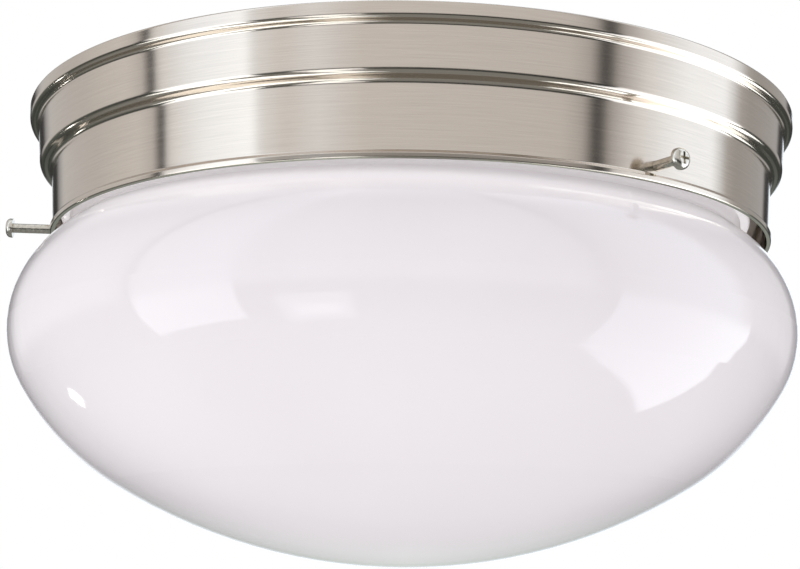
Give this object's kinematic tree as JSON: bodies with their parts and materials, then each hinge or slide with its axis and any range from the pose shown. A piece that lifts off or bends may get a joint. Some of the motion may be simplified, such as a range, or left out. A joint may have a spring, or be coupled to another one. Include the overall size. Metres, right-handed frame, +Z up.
{
  "type": "ceiling light",
  "caption": "Flush-mount ceiling light: stepped brushed nickel canopy, opal glass bowl on long fitter screws, and bulbs lying in porcelain sockets under a white reflector plate.",
  "frame": {"origin": "middle of the mounting strap, on the ceiling plane", "axes": "+Z up into the ceiling, X along the mounting strap, -Y towards the viewer of the picture"},
  "size_m": [0.2958, 0.2912, 0.1643],
  "materials": {
    "satin_nickel": "circumferentially brushed nickel plate",
    "white_enamel": "gloss white enamel",
    "aluminium_rivet": "plain",
    "glass_fibre": "matted fibre",
    "zinc_steel": "bright zinc plate",
    "brass": "plain brass",
    "green_screw": "green passivated",
    "porcelain": "glazed",
    "frosted_glass": "inside frosted",
    "bulb_aluminium": "drawn sheet",
    "black_glass": "glossy black glass",
    "bulb_contact": "tinned",
    "black_lead": "extruded insulation",
    "white_lead": "extruded insulation",
    "black_nylon": "moulded",
    "connector_plastic": "moulded",
    "nickel_screw": "nickel plate",
    "opal_glass": "glossy opal white"
  },
  "bodies": {
    "fixture": {"canopy": "satin_nickel", "reflector_plate": "white_enamel", "canopy_rivets": "aluminium_rivet", "bracket_rivets": "aluminium_rivet", "insulation_pad": "glass_fibre", "mounting_strap": "zinc_steel", "mounting_studs": "zinc_steel", "lock_nuts": "zinc_steel", "cap_nuts": "brass", "ground_screw": "green_screw", "socket_bracket_left": "zinc_steel", "socket_bracket_right": "zinc_steel", "socket_body_left": "porcelain", "socket_body_right": "porcelain", "socket_shell_left": "brass", "socket_shell_right": "brass", "socket_contact_left": "brass", "socket_contact_right": "brass", "socket_screw_left": "zinc_steel", "socket_screw_right": "zinc_steel", "lead_black_left": "black_lead", "lead_black_right": "black_lead", "lead_white_left": "white_lead", "lead_white_right": "white_lead", "lead_bushing": "black_nylon", "wire_connector_black": "connector_plastic", "wire_connector_white": "connector_plastic"},
    "glass": {"glass_shade": "opal_glass"},
    "screw_right": {"fitter_screw_right": "nickel_screw"},
    "screw_rear": {"fitter_screw_rear": "nickel_screw"},
    "screw_left": {"fitter_screw_left": "nickel_screw"},
    "bulb_left": {"bulb_glass_left": "frosted_glass", "bulb_base_left": "bulb_aluminium", "bulb_insulator_left": "black_glass", "bulb_contact_left": "bulb_contact"},
    "bulb_right": {"bulb_glass_right": "frosted_glass", "bulb_base_right": "bulb_aluminium", "bulb_insulator_right": "black_glass", "bulb_contact_right": "bulb_contact"}
  },
  "joints": [
    {"name": "glass_lift", "type": "slide", "parent": "fixture", "child": "glass", "axis": [0, 0, 1], "range_m": [0, 0.0025]},
    {"name": "screw_right_out", "type": "slide", "parent": "fixture", "child": "screw_right", "axis": [0.5736, -0.8192, 0], "range_m": [0, 0.0075]},
    {"name": "screw_rear_out", "type": "slide", "parent": "fixture", "child": "screw_rear", "axis": [0.4226, 0.9063, 0], "range_m": [0, 0.007]},
    {"name": "screw_left_out", "type": "slide", "parent": "fixture", "child": "screw_left", "axis": [-0.9962, -0.0872, 0], "range_m": [-0.0018, 0.0023]},
    {"name": "bulb_left_out", "type": "slide", "parent": "fixture", "child": "bulb_left", "axis": [1, 0, 0], "range_m": [0, 0.028]},
    {"name": "bulb_right_out", "type": "slide", "parent": "fixture", "child": "bulb_right", "axis": [-1, 0, 0], "range_m": [0, 0.028]}
  ]
}
